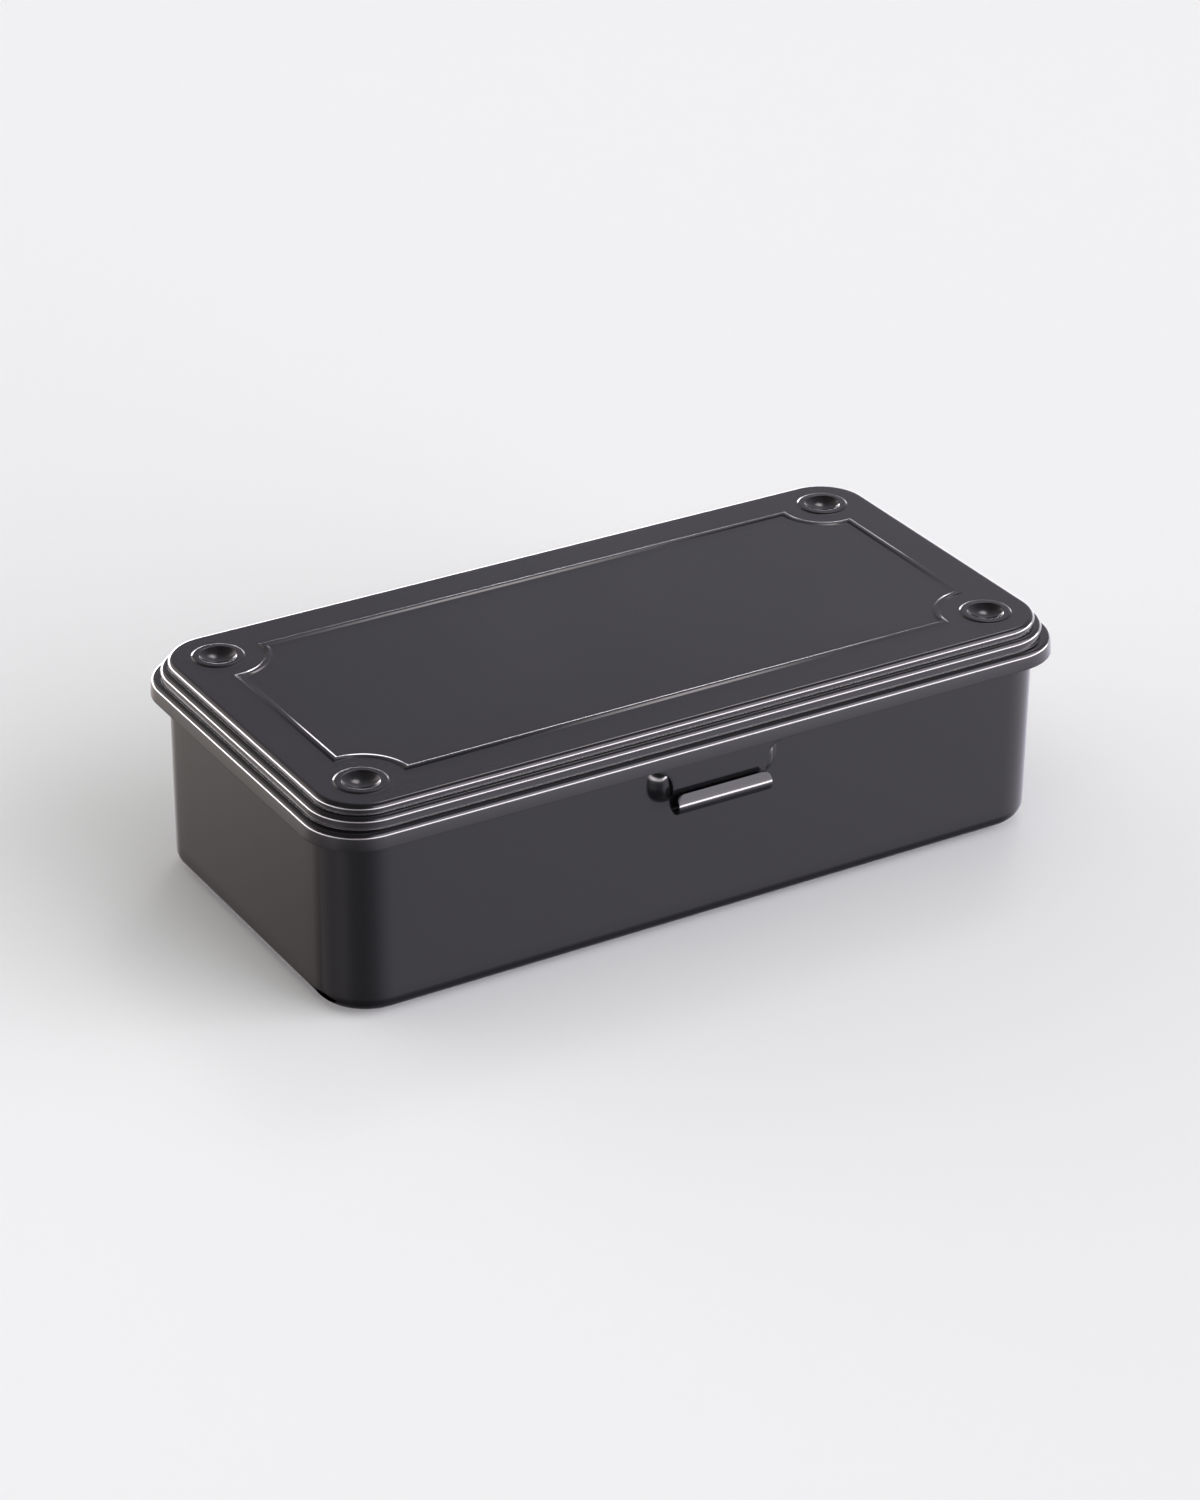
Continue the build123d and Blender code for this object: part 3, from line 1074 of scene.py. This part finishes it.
@dataclass(frozen=True)
class Cove:
    """The studio's surround: a table top, a bright level line, a dim ceiling and soft glows.

    Heights and azimuths are in degrees; azimuth 0 is the latch side and grows towards the right.
    Each side has its azimuth, its brightness and its warmth from -1, cool, to 1, warm.
    """

    table: tuple[Flat, ...] = (
        (-90.0, 0.1), (-56.0, 0.15), (-42.0, 0.35), (-35.0, 0.85), (-30.0, 0.95), (-26.0, 1.12),
        (-22.0, 1.6), (-18.0, 1.9), (-11.0, 2.0), (-8.0, 0.5), (0.0, 0.5), (44.0, 0.5), (58.0, 0.3),
        (90.0, 0.22),
    )
    sides: tuple[Point, ...] = (
        (-180.0, 0.7, 0.8), (-149.0, 0.72, 1.0), (-133.0, 0.68, 0.9), (-121.0, 0.5, 0.6),
        (-97.0, 0.4, 0.0), (-72.0, 0.5, -0.4), (-52.0, 0.26, -0.5), (-31.0, 0.2, -0.5),
        (-12.0, 0.33, -0.8), (10.0, 0.76, -1.0), (28.0, 1.0, -1.0), (75.0, 1.0, -0.7),
        (125.0, 1.2, -0.9), (143.0, 1.16, -1.0), (156.0, 0.84, -1.0), (180.0, 0.7, 0.8),
    )
    line: tuple[Point, ...] = (
        (-180.0, 0.6, 0.0), (-130.0, 0.75, 0.0), (-110.0, 0.7, 0.0), (-80.0, 0.55, 0.0),
        (-52.0, 0.28, 0.0), (-22.0, 0.28, 0.0), (4.0, 0.9, 0.0), (24.0, 1.0, 0.0),
        (85.0, 1.0, 0.0), (97.0, 0.1, 0.0), (145.0, 0.1, 0.0), (152.0, 0.45, 0.0),
        (180.0, 0.6, 0.0),
    )
    line_height: float = 8.0
    line_radiance: float = 30.0
    line_soft: float = 2.0
    peak: float = 3.0
    side_peak: float = 1.2
    glows: tuple[Glow, ...] = (
        Glow(35.0, 34.0, 8.0, 47.0, 3.6, 6.0, -0.5),
        Glow(-148.0, 30.0, 8.0, 36.0, 1.2, 6.0, 0.5),
        Glow(136.0, 9.0, 40.0, 56.0, 5.0, 5.0, 0.3),
        Glow(-149.0, 24.0, -60.0, -28.6, -0.36, 2.4, 1.0),
    )
    cool: Colour = (0.985, 0.955, 1.1)
    warm: Colour = (1.09, 0.99, 0.93)

    def ramp(self, n: Nodes, place: object, stops: Sequence[tuple[float, tuple[float, ...]]],
             ) -> NodeSocket:
        """A colour ramp with the given stops.

        Args:
            n: The world's nodes.
            place: Where on the ramp, from 0 to 1.
            stops: Places with their colours.

        Returns:
            The ramp's colour.
        """
        node = n.set(n.add("ValToRGB"), Fac=place)
        held = node.color_ramp.elements
        held[0].position, held[0].color = stops[0][0], (*stops[0][1], 1.0)
        held[1].position, held[1].color = stops[-1][0], (*stops[-1][1], 1.0)
        for where, colour in stops[1:-1]:
            held.new(where).color = (*colour, 1.0)
        return node.outputs["Color"]

    def tint(self, warmth: float) -> tuple[float, ...]:
        """The light's colour for a warmth from -1 to 1."""
        share = (warmth + 1) / 2
        return tuple(c + (w - c) * share for c, w in zip(self.cool, self.warm))

    def by_side(self, n: Nodes, side: object, stops: Sequence[Point]) -> NodeSocket:
        """The colour of each side, as a share of the brightest.

        Args:
            n: The world's nodes.
            side: The azimuth, from 0 at the back round to 1.
            stops: Azimuths with their brightness and warmth.

        Returns:
            The colour.
        """
        return self.ramp(n, side, [
            (a / 360 + 0.5, tuple(v * c / self.side_peak for c in self.tint(w)))
            for a, v, w in stops])

    def glow(self, n: Nodes, way: object, rise: object, patch: Glow) -> NodeSocket:
        """One glow's light.

        Args:
            n: The world's nodes.
            way: The direction looked in.
            rise: Its height in degrees.
            patch: The glow.

        Returns:
            The glow's colour there.
        """
        turn = radians(patch.azimuth)
        flat = n.vector("NORMALIZE", n.times(way, (1.0, 1.0, 0.0))).outputs[0]
        along = n.vector("DOT_PRODUCT", flat, (sin(turn), -cos(turn), 0.0)).outputs["Value"]
        off = n.math("MULTIPLY", n.math("ARCCOSINE", along), 180 / pi)
        near, above, below = (
            n.spread(value, edge - patch.soft, edge + patch.soft, first, 1.0 - first)
            for value, edge, first in (
                (off, patch.half_width, 1.0), (rise, patch.bottom, 0.0), (rise, patch.top, 1.0))
        )
        share = n.math("MULTIPLY", n.math("MULTIPLY", near, above), below)
        colour = tuple(patch.radiance * c for c in self.tint(patch.warmth))
        return n.times(n.even(share), colour)

    def hang(self, backdrop: Colour) -> None:
        """Make the surround the scene's world.

        Args:
            backdrop: What the camera sees beyond the floor.
        """
        world = bpy.data.worlds.new("studio")
        world.use_nodes = True
        tree = world.node_tree
        n = Nodes(tree)
        way = n.add("TexCoord").outputs["Generated"]
        axis = n.set(n.add("SeparateXYZ"), Vector=way).outputs
        angle = n.math("ARCSINE", axis["Z"])
        rise = n.math("MULTIPLY", angle, 180 / pi)
        turn = n.math("ARCTAN2", axis["X"], n.math("MULTIPLY", axis["Y"], -1.0))
        side = n.math("ADD", n.math("DIVIDE", turn, 2 * pi), 0.5)
        place = n.math("ADD", n.math("DIVIDE", angle, pi), 0.5)
        stops = [(h / 180 + 0.5, (v / self.peak,) * 3) for h, v in self.table]
        base = n.times(self.ramp(n, place, stops), self.by_side(n, side, self.sides))
        total = n.times(base, (self.peak * self.side_peak,) * 3)
        edge = n.spread(
            n.math("ABSOLUTE", rise), self.line_height - self.line_soft,
            self.line_height + self.line_soft, self.line_radiance * self.side_peak, 0.0)
        parts = [n.times(self.by_side(n, side, self.line), n.even(edge))]
        parts += [self.glow(n, way, rise, patch) for patch in self.glows]
        for part in parts:
            total = n.vector("ADD", total, part).outputs[0]
        surround = n.set(tree.nodes["Background"], Color=total)
        plain = n.set(n.add("Background"), Color=(*backdrop, 1.0))
        seen = n.add("LightPath").outputs["Is Camera Ray"]
        pick = n.set(n.add("MixShader"), Fac=seen, i1=surround.outputs[0], i2=plain.outputs[0])
        tree.links.new(pick.outputs[0], tree.nodes["World Output"].inputs["Surface"])
        bpy.context.scene.world = world


@dataclass
class Studio:
    """Pale floor, soft light and the camera."""

    azimuth: float = -31.22
    elevation: float = 27.88
    distance: float = 1.0508
    roll: float = 0.5
    lens: float = 104.06
    aim_height: float = 0.0279
    aim_right: float = -0.00123
    aim_up: float = -0.00337
    floor_reach: float = 6.0
    floor_shade: Colour = (0.63, 0.655, 0.638)
    backdrop: Colour = (0.888, 0.888, 0.884)
    fill_size: float = 3.2
    fill_height: float = 2.4
    fill_power: float = 24.0
    fill_tint: Colour = (1.0, 1.0, 0.96)

    def camera(self) -> None:
        """Add the camera."""
        turn, rise = radians(self.azimuth), radians(self.elevation)
        back = Vector((sin(turn) * cos(rise), -cos(turn) * cos(rise), sin(rise)))
        right = Vector((0, 0, 1)).cross(back).normalized()
        up = back.cross(right)
        aim = Vector((0, 0, self.aim_height))
        place = aim + back * self.distance
        look = (aim + right * self.aim_right + up * self.aim_up - place).normalized()
        right = look.cross(Vector((0, 0, 1))).normalized()
        up = right.cross(look)
        lean = radians(self.roll)
        side = right * cos(lean) + up * sin(lean)
        head = up * cos(lean) - right * sin(lean)
        data = bpy.data.cameras.new("camera")
        data.lens = self.lens
        eye = placed("camera", data)
        frame_axes = Matrix((side, head, -look)).transposed().to_4x4()
        eye.matrix_world = Matrix.Translation(place) @ frame_axes
        bpy.context.scene.camera = eye

    def floor(self) -> None:
        """Add the floor, which the enamel doesn't mirror: the surround stands in for it."""
        far = self.floor_reach
        mesh = bpy.data.meshes.new("floor")
        corners = [(-far, -far, 0), (far, -far, 0), (far, far, 0), (-far, far, 0)]
        mesh.from_pydata(corners, [], [(0, 1, 2, 3)])
        floor = placed("floor", mesh)
        floor.visible_glossy = False
        made, n, shader = started("floor_paper")
        n.set(shader, Base_Color=(*self.floor_shade, 1.0), Roughness=0.9, Specular_IOR_Level=0.0)
        mesh.materials.append(made)

    def light(self) -> None:
        """Add the surround and a wide soft fill over the floor."""
        Cove().hang(self.backdrop)
        lamp = bpy.data.lights.new("fill", "AREA")
        lamp.size = self.fill_size
        lamp.energy = self.fill_power
        lamp.color = self.fill_tint
        holder = placed("fill", lamp)
        holder.location = (0.0, 0.0, self.fill_height)
        holder.visible_glossy = False
        holder.visible_camera = False
        bpy.context.scene.view_settings.view_transform = "Standard"


def main() -> None:
    """Build the pieces, dress them and light the scene."""
    logging.basicConfig(level=logging.INFO, format="%(message)s")
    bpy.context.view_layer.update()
    low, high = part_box("lid_shell")
    sheet = Sheet(length=(high.x - low.x) / MM, depth=-2 * low.y / MM, top=high.z / MM)
    lid = Lid(sheet).build()
    tray = Tray(sheet).build()
    grain = paint_grain_group()
    enamel = Enamel("black_enamel", (0.0032, 0.0031, 0.0035), 0.17, 0.2).material(grain)
    for piece in (lid, tray):
        piece.data.materials.append(enamel)
    steel = Steel("pin_steel", (0.45, 0.45, 0.46), 0.3, 0.02).material(grain)
    wire, weld = wire_pin_tree(), weld_tree()
    for side in ("left", "right"):
        hinge = Hinge(side, sheet)
        leaf, pin, marks = hinge.leaf(), hinge.pin(wire, steel), hinge.welds(weld, enamel)
        leaf.data.materials.append(enamel)
        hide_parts(f"hinge_leaf_{side}")
        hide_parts(f"hinge_pin_{side}")
        for piece, slot in ((leaf, Slot.ENAMEL), (pin, Slot.PIN), (marks, Slot.ENAMEL)):
            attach(piece, Body.TRAY.value)
            LOG.info("%s %d faces", piece.name, len(piece.data.polygons))
    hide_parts("lid_shell", "latch_tongue")
    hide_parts("box_body")
    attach(tray, Body.TRAY.value)
    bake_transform(lid)
    studio = Studio()
    studio.camera()
    studio.floor()
    studio.light()
    for piece in (lid, tray):
        LOG.info("%s %d faces", piece.name, len(piece.data.polygons))


if __name__ == "__main__":
    main()
